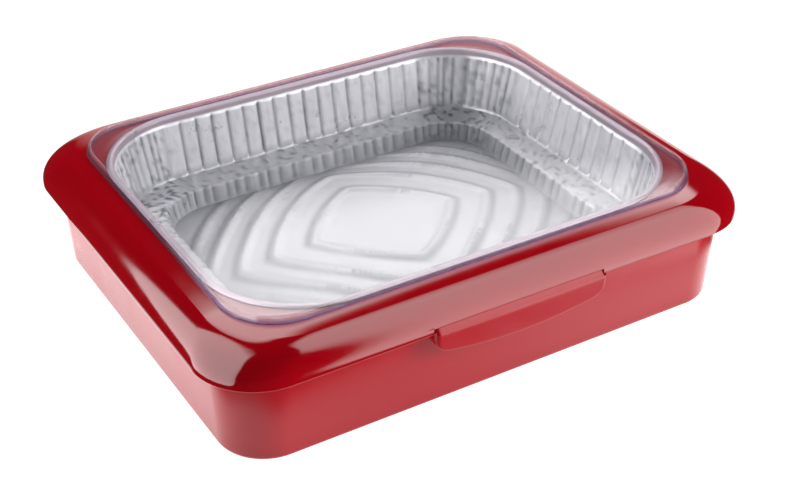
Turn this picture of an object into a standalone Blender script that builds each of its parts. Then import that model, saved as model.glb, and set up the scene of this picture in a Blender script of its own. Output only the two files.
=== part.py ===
"""Food carrier: a tub, a snap-over collar, a foil pan hung in its opening and a clear lift-off lid.

X runs along the long side, the front is at -Y, Z is up. The origin is the centre of the base.
"""

import math

import bmesh
import bpy
from mathutils import Vector

MM = 0.001
CORNER_STEPS = 12
FIT_GAP = 0.3

# Tub, half length and half width at each level
FOOT_HALF = (168.0, 133.9)
WALL_LOW_HALF = (171.0, 136.9)
WALL_HIGH_HALF = (174.1, 139.9)
FOOT_RADIUS = 3.0
WALL_LOW_CORNER = 30.4
WALL_HIGH_CORNER = 33.5
WALL_THICK = 2.5
FLANGE_BOTTOM = 55.4
FLANGE_TOP = 57.0
FLANGE_REACH = 6.5
UPSTAND_TOP = 66.0

# Thumb ledges on the tub (a rib over the flange and an apron hanging from it), and the collar's notches
LEDGE_CENTRE = 4.0
LEDGE_HALF = 59.2
LEDGE_FRONT = 150.0
LEDGE_TOP = 57.0
LEDGE_RIB_TOP = 60.4
LEDGE_DRAFT = 0.06
LEDGE_LOW_Z = 38.2
LEDGE_SMILE = 7.0
LEDGE_CORNER = 3.0
LEDGE_LOW_CORNER = 9.0
LEDGE_WALL = 2.2
NOTCH_TOP = 61.0
NOTCH_SIDE_GAP = 1.0
NOTCH_FLARE = 2.2

# Collar
COLLAR_HALF = (183.8, 148.8)
COLLAR_CORNER = 40.0
COLLAR_LIP = 57.4
COLLAR_BULGE_Z = 60.0
COLLAR_TOP_Z = 80.0
COLLAR_THICK = 2.2
SEAT_HALF = (159.0, 128.3)
SEAT_CORNER = 36.0
OPENING_HALF = (152.2, 121.4)
OPENING_CORNER = 60.0
OPENING_LIP_Z = 80.9
SKIRT_BOTTOM = 76.2

# Clear lid
LID_FOOT_HALF = (158.6, 127.9)
LID_CORNER = 35.6
LID_FOOT_Z = 80.4
LID_PLATE_BOTTOM = 82.2
LID_PLATE_TOP = 84.0
LID_BEAD_TOP = 85.0

# Foil pan: domed floor, steep lower wall, ledge, sloping upper wall, rim curled over the opening's lip
PAN_THICK = 0.6
PAN_EDGE_Z = 25.5
PAN_EDGE_HALF = (118.5, 91.0)
PAN_EDGE_CORNER = 32.0
PAN_DOME_RISE = 10.0
PAN_DOME_POWER = 3.5
PAN_LEDGE_IN_HALF = (121.5, 93.5)
PAN_LEDGE_IN_CORNER = 35.0
PAN_LEDGE_IN_Z = 38.0
PAN_HEEL_HALF = (141.5, 112.5)
PAN_HEEL_CORNER = 50.0
PAN_HEEL_Z = 39.5
PAN_SHOULDER_HALF = (150.0, 119.2)
PAN_SHOULDER_CORNER = 57.8
PAN_SHOULDER_Z = 76.5
PAN_NECK_INSET = 1.3
PAN_RIM_Z = 81.9
PAN_RIM_REACH = 3.4
SIDE_STEPS = 5

# Pressed diamond rings on the pan's floor: reach along X, and the outline's shape
RING_REACHES = (101.5, 79.0, 51.0)
RING_HALF_WIDTH = 4.5
RING_HEIGHT = 1.0
RING_POWER = 1.45
RING_ASPECT = 1.08


def clear_scene():
    for obj in list(bpy.data.objects):
        bpy.data.objects.remove(obj, do_unlink=True)


def new_collection(name, hidden=False):
    collection = bpy.data.collections.new(name)
    bpy.context.scene.collection.children.link(collection)
    collection.hide_render = hidden
    return collection


def principled(name, colour, roughness, metallic=0.0, transmission=0.0, coat=0.0):
    material = bpy.data.materials.new(name)
    material.use_nodes = True
    shader = material.node_tree.nodes["Principled BSDF"]
    shader.inputs["Base Color"].default_value = (*colour, 1.0)
    shader.inputs["Roughness"].default_value = roughness
    shader.inputs["Metallic"].default_value = metallic
    shader.inputs["Transmission Weight"].default_value = transmission
    shader.inputs["Coat Weight"].default_value = coat
    material.diffuse_color = (*colour, 1.0)
    return material


def gloss_red():
    return principled("collar_gloss_red", (0.56, 0.004, 0.012), 0.08, coat=0.6)


def satin_red():
    return principled("tub_satin_red", (0.52, 0.012, 0.02), 0.32)


def clear_plastic():
    return principled("lid_clear", (0.95, 0.95, 0.98), 0.03, transmission=1.0)


def bright_foil():
    return principled("pan_foil", (0.86, 0.87, 0.88), 0.24, metallic=1.0)


def rounded_loop(half, corner, z):
    """A rounded rectangle at height z, anticlockwise from above, in millimetres."""
    a, b = half
    points = []
    quarter = math.pi / 2
    for index, (sx, sy) in enumerate(((1, 1), (-1, 1), (-1, -1), (1, -1))):
        for step in range(CORNER_STEPS + 1):
            angle = quarter * (index + step / CORNER_STEPS)
            x = sx * (a - corner) + corner * math.cos(angle)
            y = sy * (b - corner) + corner * math.sin(angle)
            points.append((x, y, z))
    return points


def grown(half, by):
    return (half[0] + by, half[1] + by)


def between(low, high, share):
    return tuple(p + (q - p) * share for p, q in zip(low, high))


def mesh_object(name, bm, material, collection, base_z):
    """Turns a bmesh in millimetres into an object in metres whose origin is on the Z axis."""
    bmesh.ops.recalc_face_normals(bm, faces=bm.faces)
    origin = Vector((0.0, 0.0, base_z))
    for vert in bm.verts:
        vert.co = (vert.co - origin) * MM
    for face in bm.faces:
        face.smooth = True
    mesh = bpy.data.meshes.new(name)
    bm.to_mesh(mesh)
    bm.free()
    mesh.set_sharp_from_angle(angle=math.radians(35))
    obj = bpy.data.objects.new(name, mesh)
    obj.location = origin * MM
    collection.objects.link(obj)
    if material:
        mesh.materials.append(material)
    return obj


def skin(loops, closed):
    """Joins equal loops into one closed surface; an open run is capped at both ends."""
    bm = bmesh.new()
    rows = [[bm.verts.new(point) for point in loop] for loop in loops]
    pairs = list(zip(rows, rows[1:]))
    if closed:
        pairs.append((rows[-1], rows[0]))
    for lower, upper in pairs:
        count = len(lower)
        for i in range(count):
            j = (i + 1) % count
            bm.faces.new((lower[i], lower[j], upper[j], upper[i]))
    if not closed:
        bm.faces.new(rows[0])
        bm.faces.new(rows[-1])
    return bm


def prism(outline, start, end, place):
    """Extrudes a 2-D outline from start to end; place turns (u, v, w) into a point."""
    bm = bmesh.new()
    near = [bm.verts.new(place(u, v, start)) for u, v in outline]
    far = [bm.verts.new(place(u, v, end)) for u, v in outline]
    count = len(outline)
    for i in range(count):
        j = (i + 1) % count
        bm.faces.new((near[i], near[j], far[j], far[i]))
    bm.faces.new(near)
    bm.faces.new(far)
    return bm


def boolean(target, helper, operation):
    helper.hide_render = True
    helper.display_type = "WIRE"
    modifier = target.modifiers.new(f"{operation.lower()}_{helper.name}", "BOOLEAN")
    modifier.operation = operation
    modifier.solver = "EXACT"
    modifier.object = helper


def wall_half(z):
    """The outer half sizes of the tub's wall at height z."""
    return between(WALL_LOW_HALF, WALL_HIGH_HALF, (z - FOOT_RADIUS) / (FLANGE_BOTTOM - FOOT_RADIUS))


def tub_loops():
    loops = []
    for step in range(4):
        angle = math.pi / 2 * step / 3
        inset = FOOT_RADIUS * (1 - math.sin(angle))
        half = grown(WALL_LOW_HALF, -inset)
        loops.append(rounded_loop(half, WALL_LOW_CORNER - inset, FOOT_RADIUS * (1 - math.cos(angle))))
    wall_top = rounded_loop(WALL_HIGH_HALF, WALL_HIGH_CORNER, FLANGE_BOTTOM)
    loops.append(wall_top)
    edge = grown(WALL_HIGH_HALF, FLANGE_REACH)
    edge_corner = WALL_HIGH_CORNER + FLANGE_REACH
    loops.append(rounded_loop(grown(edge, -0.3), edge_corner - 0.3, FLANGE_BOTTOM + 0.1))
    loops.append(rounded_loop(edge, edge_corner, FLANGE_BOTTOM + 0.5))
    loops.append(rounded_loop(edge, edge_corner, FLANGE_TOP - 0.4))
    loops.append(rounded_loop(grown(edge, -0.4), edge_corner - 0.4, FLANGE_TOP))
    loops.append(rounded_loop(WALL_HIGH_HALF, WALL_HIGH_CORNER, FLANGE_TOP))
    loops.append(rounded_loop(WALL_HIGH_HALF, WALL_HIGH_CORNER, UPSTAND_TOP - 0.6))
    loops.append(rounded_loop(grown(WALL_HIGH_HALF, -0.6), WALL_HIGH_CORNER - 0.6, UPSTAND_TOP))
    inner = grown(WALL_HIGH_HALF, -WALL_THICK)
    inner_corner = WALL_HIGH_CORNER - WALL_THICK
    loops.append(rounded_loop(grown(inner, 0.6), inner_corner + 0.6, UPSTAND_TOP))
    loops.append(rounded_loop(inner, inner_corner, UPSTAND_TOP - 0.6))
    loops.append(rounded_loop(inner, inner_corner, FLANGE_BOTTOM))
    floor_half = grown(WALL_LOW_HALF, -WALL_THICK)
    floor_corner = WALL_LOW_CORNER - WALL_THICK
    for step in range(4):
        angle = math.pi / 2 * step / 3
        inset = 4.0 * (1 - math.cos(angle))
        z = WALL_THICK + 4.0 * (1 - math.sin(angle))
        loops.append(rounded_loop(grown(floor_half, -inset), floor_corner - inset, z))
    return loops


def ledge_column(offset, solid):
    """The ledge's cross-section (distance from centre plane, height) at this distance along it.

    Solid columns close the apron's ends; the others leave it open from below.
    """

    def rounding(radius):
        over = min(max(0.0, abs(offset) - (LEDGE_HALF - radius)), radius - 0.1)
        return radius - math.sqrt(radius**2 - over**2)

    front = LEDGE_FRONT - rounding(LEDGE_CORNER)
    low = LEDGE_LOW_Z + LEDGE_SMILE * (offset / LEDGE_HALF) ** 2 + rounding(LEDGE_LOW_CORNER)
    rib = LEDGE_RIB_TOP - 0.8 * max(0.0, abs(offset) - (LEDGE_HALF - 2.0))
    under = FLANGE_BOTTOM - 0.5
    face = front - LEDGE_DRAFT * (LEDGE_TOP - low)
    core = wall_half(FLANGE_BOTTOM)[1] - WALL_THICK / 2
    points = [(core, LEDGE_TOP - 0.5), (front - 4.8, LEDGE_TOP - 0.5), (front - 4.5, rib), (front - 2.7, rib)]
    points += [(front - 0.4, LEDGE_TOP + 0.4), (front, LEDGE_TOP - 0.4)]
    points += [(face, low + 0.8), (face - 0.8, low)]
    if solid:
        middle = (low + under) / 2
        points += [(wall_half(z)[1] - WALL_THICK / 2, z) for z in (low, middle)]
    else:
        points.append((face - LEDGE_WALL, low))
        points.append((front - LEDGE_DRAFT * (LEDGE_TOP - under) - LEDGE_WALL, under))
    points.append((core, under))
    return points


def ledge_bmesh(side):
    insets = (0.0, 0.5, 1.3, LEDGE_WALL, LEDGE_WALL + 0.04, 3.5, 5.5, 8.0)
    ends = [(LEDGE_HALF - inset, inset <= LEDGE_WALL) for inset in insets]
    columns = [(-offset, solid) for offset, solid in ends]
    columns += [(LEDGE_HALF * k / 6, False) for k in range(-5, 6)]
    columns += ends[::-1]
    bm = bmesh.new()
    rows = []
    for offset, solid in columns:
        x = side * (offset + LEDGE_CENTRE)
        rows.append([bm.verts.new((x, -side * y, z)) for y, z in ledge_column(offset, solid)])
    for left, right in zip(rows, rows[1:]):
        count = len(left)
        for i in range(count):
            j = (i + 1) % count
            bm.faces.new((left[i], left[j], right[j], right[i]))
    bm.faces.new(rows[0])
    bm.faces.new(rows[-1])
    return bm


def add_ledges(tub, helpers):
    for side, name in ((1, "ledge_front"), (-1, "ledge_rear")):
        helper = mesh_object(name, ledge_bmesh(side), None, helpers, 0.0)
        boolean(tub, helper, "UNION")


def build_tub(parts, helpers):
    tub = mesh_object("base_tub", skin(tub_loops(), False), satin_red(), parts, 0.0)
    add_ledges(tub, helpers)
    return tub


def collar_arc(outer, inner, top_z, base_corner, seat_corner, steps):
    """A quarter ellipse from the bulge up and in to the lid's seat."""
    loops = []
    for step in range(steps + 1):
        angle = math.pi / 2 * step / steps
        half = between(inner, outer, math.cos(angle))
        corner = seat_corner + (base_corner - seat_corner) * math.cos(angle)
        z = COLLAR_BULGE_Z + (top_z - COLLAR_BULGE_Z) * math.sin(angle)
        loops.append(rounded_loop(half, corner, z))
    return loops


def collar_loops():
    inner_half = grown(COLLAR_HALF, -COLLAR_THICK)
    inner_corner = COLLAR_CORNER - COLLAR_THICK
    loops = [
        rounded_loop(inner_half, inner_corner, COLLAR_LIP),
        rounded_loop(grown(COLLAR_HALF, -0.8), COLLAR_CORNER - 0.8, COLLAR_LIP),
        rounded_loop(grown(COLLAR_HALF, -0.2), COLLAR_CORNER - 0.2, COLLAR_LIP + 0.4),
        rounded_loop(COLLAR_HALF, COLLAR_CORNER, COLLAR_LIP + 1.0),
    ]
    loops += collar_arc(COLLAR_HALF, SEAT_HALF, COLLAR_TOP_Z, COLLAR_CORNER, SEAT_CORNER, 11)
    lip = grown(OPENING_HALF, 2.2)
    loops.append(rounded_loop(lip, OPENING_CORNER + 2.2, COLLAR_TOP_Z + 0.05))
    loops.append(rounded_loop(grown(OPENING_HALF, 1.4), OPENING_CORNER + 1.4, OPENING_LIP_Z - 0.2))
    loops.append(rounded_loop(grown(OPENING_HALF, 0.9), OPENING_CORNER + 0.9, OPENING_LIP_Z))
    loops.append(rounded_loop(grown(OPENING_HALF, 0.3), OPENING_CORNER + 0.3, OPENING_LIP_Z - 0.2))
    loops.append(rounded_loop(OPENING_HALF, OPENING_CORNER, OPENING_LIP_Z - 0.9))
    loops.append(rounded_loop(grown(OPENING_HALF, -0.3), OPENING_CORNER - 0.3, SKIRT_BOTTOM + 0.4))
    loops.append(rounded_loop(grown(OPENING_HALF, 0.1), OPENING_CORNER + 0.1, SKIRT_BOTTOM))
    loops.append(rounded_loop(grown(OPENING_HALF, 1.4), OPENING_CORNER + 1.4, SKIRT_BOTTOM))
    loops.append(rounded_loop(grown(OPENING_HALF, 1.8), OPENING_CORNER + 1.8, SKIRT_BOTTOM + 0.4))
    under = COLLAR_TOP_Z - COLLAR_THICK
    loops.append(rounded_loop(grown(OPENING_HALF, 2.1), OPENING_CORNER + 2.1, under))
    inside = collar_arc(
        inner_half, grown(SEAT_HALF, -0.8), under, inner_corner, SEAT_CORNER - 0.8, 8
    )
    return loops + inside[::-1]


def cut_notches(collar, helpers):
    half = LEDGE_HALF + NOTCH_SIDE_GAP
    wide = half + NOTCH_FLARE
    for side, name in ((1, "notch_front"), (-1, "notch_rear")):
        outline = [
            (-wide, COLLAR_LIP - 4.0),
            (wide, COLLAR_LIP - 4.0),
            (wide, COLLAR_LIP + 0.3),
            (half, COLLAR_LIP + 0.3 + NOTCH_FLARE),
            (half, NOTCH_TOP),
            (-half, NOTCH_TOP),
            (-half, COLLAR_LIP + 0.3 + NOTCH_FLARE),
            (-wide, COLLAR_LIP + 0.3),
        ]
        centre = side * LEDGE_CENTRE
        bm = prism(outline, 135.0, 160.0, lambda u, v, w: (centre + u, -side * w, v))
        boolean(collar, mesh_object(name, bm, None, helpers, 0.0), "DIFFERENCE")


def build_collar(parts, helpers):
    bm = skin(collar_loops(), True)
    collar = mesh_object("collar", bm, gloss_red(), parts, COLLAR_LIP)
    cut_notches(collar, helpers)
    return collar


def lid_loops():
    foot = LID_FOOT_HALF
    top = grown(foot, -1.3)
    corner = LID_CORNER
    return [
        rounded_loop(grown(foot, -3.6), corner - 3.6, LID_PLATE_BOTTOM),
        rounded_loop(grown(foot, -2.2), corner - 2.2, LID_PLATE_BOTTOM - 0.5),
        rounded_loop(grown(foot, -2.0), corner - 2.0, LID_FOOT_Z + 0.2),
        rounded_loop(grown(foot, -1.8), corner - 1.8, LID_FOOT_Z),
        rounded_loop(grown(foot, -0.3), corner - 0.3, LID_FOOT_Z),
        rounded_loop(foot, corner, LID_FOOT_Z + 0.4),
        rounded_loop(grown(top, 0.1), corner - 1.2, LID_BEAD_TOP - 1.0),
        rounded_loop(grown(top, -0.2), corner - 1.5, LID_BEAD_TOP - 0.4),
        rounded_loop(grown(top, -0.7), corner - 2.0, LID_BEAD_TOP),
        rounded_loop(grown(top, -2.2), corner - 3.5, LID_BEAD_TOP),
        rounded_loop(grown(top, -2.9), corner - 4.2, LID_PLATE_TOP + 0.5),
        rounded_loop(grown(top, -3.9), corner - 5.2, LID_PLATE_TOP),
    ]


def build_lid(parts):
    bm = skin(lid_loops(), False)
    return mesh_object("clear_lid", bm, clear_plastic(), parts, LID_FOOT_Z)


def pan_loop(half, corner, z):
    """A rounded rectangle with extra points along its straight sides."""
    points = rounded_loop(half, corner, z)
    arc = CORNER_STEPS + 1
    loop = []
    for index in range(4):
        loop += points[index * arc : (index + 1) * arc]
        start = Vector(loop[-1])
        end = Vector(points[(index + 1) * arc % len(points)])
        for step in range(1, SIDE_STEPS + 1):
            loop.append(tuple(start.lerp(end, step / (SIDE_STEPS + 1))))
    return loop


def ring_share(point, reach):
    """The share of the way from the centre to a point of the floor's edge at which the ring lies."""
    x, y = abs(point[0]), abs(point[1]) * RING_ASPECT
    return reach / (x**RING_POWER + y**RING_POWER) ** (1 / RING_POWER)


def floor_loop(reach, lift, limit=1.0):
    """One outline of a ring on the dome, raised by lift; where it would pass the limit it lies flat there."""
    loop = []
    for point in pan_loop(PAN_EDGE_HALF, PAN_EDGE_CORNER, PAN_EDGE_Z):
        share = ring_share(point, reach)
        if share > limit:
            share, lift_here = limit, 0.0
        else:
            lift_here = lift
        z = PAN_EDGE_Z + PAN_DOME_RISE * (1 - share**PAN_DOME_POWER) + lift_here
        loop.append((point[0] * share, point[1] * share, z))
    return loop


def floor_loops():
    """The floor's upper face, from the middle out to just short of its edge."""
    loops = []
    limit = 0.97
    foot = RING_HALF_WIDTH
    for reach in RING_REACHES:
        for out, lift in ((foot, 0.0), (1.0, RING_HEIGHT), (-1.0, RING_HEIGHT), (-foot, 0.0)):
            loops.append(floor_loop(reach + out, lift, limit))
            limit -= 0.02
    middle = PAN_EDGE_Z + PAN_DOME_RISE - 0.2
    loops.append([(x, y, middle) for x, y, _ in floor_loop(RING_REACHES[-1] - 6.0, 0.0)])
    return loops[::-1]


def pan_section():
    """Half sizes, corner radius and height of the upper face, then how far the lower face is out and down."""
    edge, step_in = PAN_EDGE_HALF, PAN_LEDGE_IN_HALF
    thick = PAN_THICK

    def rim(out, z, lower_out, lower_down):
        return (grown(OPENING_HALF, out), OPENING_CORNER + out, z, lower_out, lower_down)

    return [
        (edge, PAN_EDGE_CORNER, PAN_EDGE_Z, 0.3, thick),
        (between(edge, step_in, 0.3), PAN_EDGE_CORNER + 0.9, PAN_EDGE_Z + 2.0, thick, 0.1),
        (between(edge, step_in, 0.9), PAN_LEDGE_IN_CORNER - 0.3, PAN_LEDGE_IN_Z - 1.2, thick, 0.1),
        (step_in, PAN_LEDGE_IN_CORNER, PAN_LEDGE_IN_Z, 0.5, 0.5),
        (grown(PAN_HEEL_HALF, -1.2), PAN_HEEL_CORNER - 1.2, PAN_HEEL_Z - 0.1, 0.1, thick),
        (PAN_HEEL_HALF, PAN_HEEL_CORNER, PAN_HEEL_Z + 0.8, thick, 0.3),
        (PAN_SHOULDER_HALF, PAN_SHOULDER_CORNER, PAN_SHOULDER_Z, thick, 0.1),
        rim(-PAN_NECK_INSET, PAN_RIM_Z - 1.6, thick, 0.0),
        rim(-PAN_NECK_INSET + 0.5, PAN_RIM_Z - 0.5, 0.45, 0.45),
        rim(-PAN_NECK_INSET + 1.6, PAN_RIM_Z, 0.1, thick),
        rim(PAN_RIM_REACH - 1.1, PAN_RIM_Z, -0.1, thick),
        rim(PAN_RIM_REACH - 0.3, PAN_RIM_Z - 0.4, -0.4, 0.4),
        rim(PAN_RIM_REACH, PAN_RIM_Z - 1.4, -0.6, 0.0),
    ]


def build_pan(parts):
    section = pan_section()
    floor = floor_loops()
    upper = floor + [pan_loop(half, corner, z) for half, corner, z, _, _ in section]
    lower = [[(x, y, z - PAN_THICK) for x, y, z in loop] for loop in floor]
    for half, corner, z, out, down in section:
        lower.append(pan_loop(grown(half, out), corner + out, z - down))
    bm = skin(lower + upper[::-1], False)
    return mesh_object("foil_pan", bm, bright_foil(), parts, PAN_EDGE_Z)


def main():
    clear_scene()
    parts = new_collection("foil_pan_food_carrier")
    helpers = new_collection("helpers", hidden=True)
    build_tub(parts, helpers)
    build_collar(parts, helpers)
    build_lid(parts)
    build_pan(parts)


main()
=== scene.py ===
"""Looks, light and camera for the food carrier: tub, collar, foil pan and clear lid.

All shapes are built in millimetres in the shared frame: X along the long side, front at -Y, Z up.
"""

import math

import bmesh
import bpy
import numpy as np
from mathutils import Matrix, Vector, noise


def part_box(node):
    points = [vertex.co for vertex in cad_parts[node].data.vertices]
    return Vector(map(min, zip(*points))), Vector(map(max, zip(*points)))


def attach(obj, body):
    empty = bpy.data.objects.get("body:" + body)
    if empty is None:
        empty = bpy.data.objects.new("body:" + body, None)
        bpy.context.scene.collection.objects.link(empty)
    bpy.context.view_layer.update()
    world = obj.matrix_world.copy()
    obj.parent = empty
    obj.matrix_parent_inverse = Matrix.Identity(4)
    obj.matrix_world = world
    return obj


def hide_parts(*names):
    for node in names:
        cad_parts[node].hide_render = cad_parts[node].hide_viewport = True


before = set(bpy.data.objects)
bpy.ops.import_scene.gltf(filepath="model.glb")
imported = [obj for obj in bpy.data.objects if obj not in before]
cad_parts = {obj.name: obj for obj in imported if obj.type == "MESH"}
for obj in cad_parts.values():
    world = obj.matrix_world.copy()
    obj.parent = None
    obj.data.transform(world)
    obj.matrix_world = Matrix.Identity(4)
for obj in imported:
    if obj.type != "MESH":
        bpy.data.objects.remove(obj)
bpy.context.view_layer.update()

MM = 0.001

# How far the visible surfaces stay inside the solids' boxes
INSIDE = 0.02
COLLAR_INSIDE = 0.03
PAN_INSIDE = 0.05


# ---------------------------------------------------------------- measures from the CAD nodes
def box_mm(node):
    low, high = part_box(node)
    return np.array(low) / MM, np.array(high) / MM


TUB_HIGH = box_mm("base_tub")[1]
COLLAR_LOW, COLLAR_HIGH = box_mm("collar")
LID_LOW, LID_HIGH = box_mm("clear_lid")
PAN_LOW, PAN_HIGH = box_mm("foil_pan")

# Collar; a HALF holds a half length and a half width, a CORNER a corner's radius, a REACH a distance outward
COLLAR_HALF = np.array([COLLAR_HIGH[0], COLLAR_HIGH[1]]) - COLLAR_INSIDE
COLLAR_CORNER = 40.0
COLLAR_LIP = COLLAR_LOW[2] + INSIDE
COLLAR_LIP_ROUND = 0.9
COLLAR_LIP_BEVEL = 0.3
COLLAR_BULGE_Z = COLLAR_LIP + 2.6
COLLAR_TOP_Z = COLLAR_HIGH[2] - 0.92
COLLAR_THICK = 2.2
SEAT_HALF = COLLAR_HALF - np.array([24.8, 20.5])
SEAT_CORNER = 36.0
SEAT_MIDDLE_CORNER = 50.0
SEAT_UNDER_INSET = 0.8
SHELF_REACH = 9.0
SHELF_FALL = 1.5
SHELF_POWER = 1.15
SHELF_SHARES = (0.04, 0.1, 0.3, 0.6, 0.9, 0.97)
ROLL_REACH = 16.8
OPENING_HALF = COLLAR_HALF - np.array([31.6, 27.4])
OPENING_CORNER = 60.0
OPENING_LIP_Z = COLLAR_HIGH[2] - INSIDE
OPENING_LIP_FOOT = 2.2
OPENING_UNDER_REACH = 1.9
# The opening's lip, from outside in: reach from the opening, and depth below the lip's top
OPENING_LIP_REACHES = (1.9, 1.6, 1.3, 0.9, 0.55, 0.25, 0.05)
OPENING_LIP_DEPTHS = (0.75, 0.4, 0.12, 0.0, 0.08, 0.3, 0.6)
SKIRT_BOTTOM = COLLAR_TOP_Z - 3.8
SKIRT_INSET = 0.2
SKIRT_HALF_THICK = 0.7

# Thumb ledges (a rib over the flange, an apron hanging from it) and the notches over them
LEDGE_CENTRE = 4.0
LEDGE_HALF = 59.2
LEDGE_FRONT = TUB_HIGH[1] - INSIDE
LEDGE_TOP = COLLAR_LIP - 0.4
LEDGE_NOSE_RADIUS = 0.8
LEDGE_NOSE_DROP = 0.3
LEDGE_RIB_TOP = COLLAR_LIP + 3.0
LEDGE_RIB_SLOPE = 0.8
LEDGE_RIB_SLOPE_LENGTH = 2.0
LEDGE_RIB_STOP = (3.0, 2.25)  # the rib falls away between these distances from the ledge's right end
LEDGE_DRAFT = 0.06
LEDGE_LOW_Z = COLLAR_LIP - 19.2
LEDGE_SMILE = 7.0
LEDGE_CORNER = 3.0
LEDGE_LOW_CORNER = 9.0
LEDGE_WALL = 2.2
NOTCH_TOP = COLLAR_LIP + 3.6
NOTCH_GAPS = (1.0, -2.4)  # how far the notch runs past the ledge's left and right ends
NOTCH_FLARE = 0.4
NOTCH_STEP = 0.01
NOTCH_SHARE_CLEARANCE = 0.01
NOTCH_DEPTH = 12
NOTCH_BLEND_Z = NOTCH_TOP + 1.6

# Tub
FOOT_RADIUS = 3.0
WALL_LOW_HALF = np.array([171.0, 136.9])
WALL_HIGH_HALF = np.array([174.1, 139.9])
WALL_LOW_CORNER = 30.4
WALL_HIGH_CORNER = 33.5
WALL_THICK = 2.5
FLANGE_BOTTOM = COLLAR_LIP - 2.0
FLANGE_TOP = COLLAR_LIP - 0.42
FLANGE_REACH = TUB_HIGH[0] - WALL_HIGH_HALF[0] - INSIDE
FLANGE_ROUND = 0.4
FLANGE_FILLET = 0.6
UPSTAND_TOP = TUB_HIGH[2] - INSIDE
UPSTAND_ROUND = 0.6
TUB_FLOOR_RADIUS = 4.0

# Clear lid
LID_FOOT_HALF = np.array([LID_HIGH[0], LID_HIGH[1]]) - INSIDE
LID_CORNER = 35.6
LID_FOOT_Z = LID_LOW[2] + INSIDE
LID_BEAD_TOP = LID_HIGH[2] - INSIDE
LID_BEAD_HEIGHT = 1.0
LID_BEAD_HALF_WIDTH = 1.2
LID_BEAD_INSET = 2.3
LID_PLATE_TOP = LID_BEAD_TOP - LID_BEAD_HEIGHT
LID_PLATE_BOTTOM = LID_BEAD_TOP - 2.8
# The underside as (inset, height over the plate's underside), and the foot as (inset, height over its end)
LID_UNDER_PROFILE = ((3.8, 0.0), (2.6, 0.0), (2.2, -0.4))
LID_FOOT_PROFILE = ((2.0, 0.3), (1.7, 0.0), (0.4, 0.0), (0.12, 0.12), (0.0, 0.4))

# Foil pan
FOIL_THICK = 0.25
PAN_RIM_Z = PAN_HIGH[2] - PAN_INSIDE
PAN_RIM_REACH = PAN_HIGH[0] - PAN_INSIDE - OPENING_HALF[0]
PAN_RIM_RISE = 1.45
PAN_NECK_INSET = 1.3
PAN_EDGE_Z = PAN_LOW[2] + 0.6
PAN_EDGE_HALF = np.array([118.5, 91.0])
PAN_EDGE_CORNER = 32.0
PAN_DOME_RISE = 10.0
PAN_DOME_POWER = 3.5
PAN_LEDGE_IN_HALF = np.array([121.5, 93.5])
PAN_LEDGE_IN_CORNER = 35.0
PAN_LEDGE_IN_Z = PAN_EDGE_Z + 12.5
PAN_HEEL_HALF = np.array([141.5, 112.5])
PAN_HEEL_CORNER = 50.0
PAN_HEEL_Z = PAN_EDGE_Z + 14.0
PAN_SHOULDER_HALF = np.array([150.0, 119.2])
PAN_SHOULDER_CORNER = 57.8
PAN_SHOULDER_Z = PAN_EDGE_Z + 51.0
RING_CRESTS = (50.5, 78.5, 101.5, 123.5, 143.0)
RING_HEIGHTS = (2.0, 2.0, 2.0, 2.0, 1.5)
RING_HALF_WIDTH = 4.4
RING_POWER = 1.24
RING_ASPECT = 1.08
# How dark the painted shade in the rings' valleys is
RING_SHADE = 0.55
FLOOR_SHARES = np.concatenate([[0.004, 0.1, 0.18, 0.235, 0.27], np.linspace(0.295, 0.985, 34)])
PAN_CORNER_STEPS = 41

# Pressed lines of the foil: pitch along the pan, width of the groove, depth, and how dark the shade painted
# along its groove is
FLUTE_PITCH, FLUTE_WIDTH, FLUTE_DEPTH, FLUTE_SHADE = 11.5, 3.4, 1.6, 0.8
FOLD_PITCH, FOLD_WIDTH, FOLD_DEPTH, FOLD_SHADE = 6.4, 5.0, 1.1, 0.75
LOWER_PITCH, LOWER_WIDTH, LOWER_DEPTH, LOWER_SHADE = 8.8, 7.0, 1.8, 0.75
# Width of the shade painted along each lower flute
LOWER_SHADE_WIDTH = 4.6
LOWER_SET_BACK = 0.6
FLUTE_SEED, LOWER_SEED, FOLD_SEED = 3, 5, 9
LOWER_JITTER, FOLD_JITTER = 0.16, 0.3
FLUTE_COLUMNS = np.array([-4.3, -2.6, -1.3, -0.6, 0.0, 0.6, 1.3, 2.6, 4.3])
CRUMPLE_SIZES = (5.0, 4.0)


# ---------------------------------------------------------------- mesh helpers
def side_shares(count):
    """Evenly spread positions along the straight part of a side, from -1 to 1 and without its ends."""
    return np.linspace(-1, 1, count + 2)[1:-1]


def rounded(half, corner, steps, long_side, short_side):
    """A rounded rectangle, anticlockwise from the start of the far right corner.

    long_side and short_side hold positions along the straight parts as shares of their half length.
    """
    straight = np.asarray(half, float) - corner
    angles = np.linspace(0, math.pi / 2, steps + 1)
    arc = np.stack([np.cos(angles), np.sin(angles)], 1) * corner
    pieces = []
    for index, (sx, sy) in enumerate(((1, 1), (-1, 1), (-1, -1), (1, -1))):
        turn = index * math.pi / 2
        c, s = round(math.cos(turn)), round(math.sin(turn))
        turned = arc @ np.array([[c, s], [-s, c]])
        pieces.append(turned + straight * (sx, sy))
        shares = long_side if index % 2 == 0 else short_side
        along = {
            0: lambda t: np.stack([-t * straight[0], np.full(len(t), half[1])], 1),
            1: lambda t: np.stack([np.full(len(t), -half[0]), -t * straight[1]], 1),
            2: lambda t: np.stack([t * straight[0], np.full(len(t), -half[1])], 1),
            3: lambda t: np.stack([np.full(len(t), half[0]), t * straight[1]], 1),
        }[index]
        pieces.append(along(np.asarray(shares, float)))
    return np.concatenate(pieces)


def at_height(flat, z):
    return np.column_stack([flat, np.broadcast_to(z, len(flat))])


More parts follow.
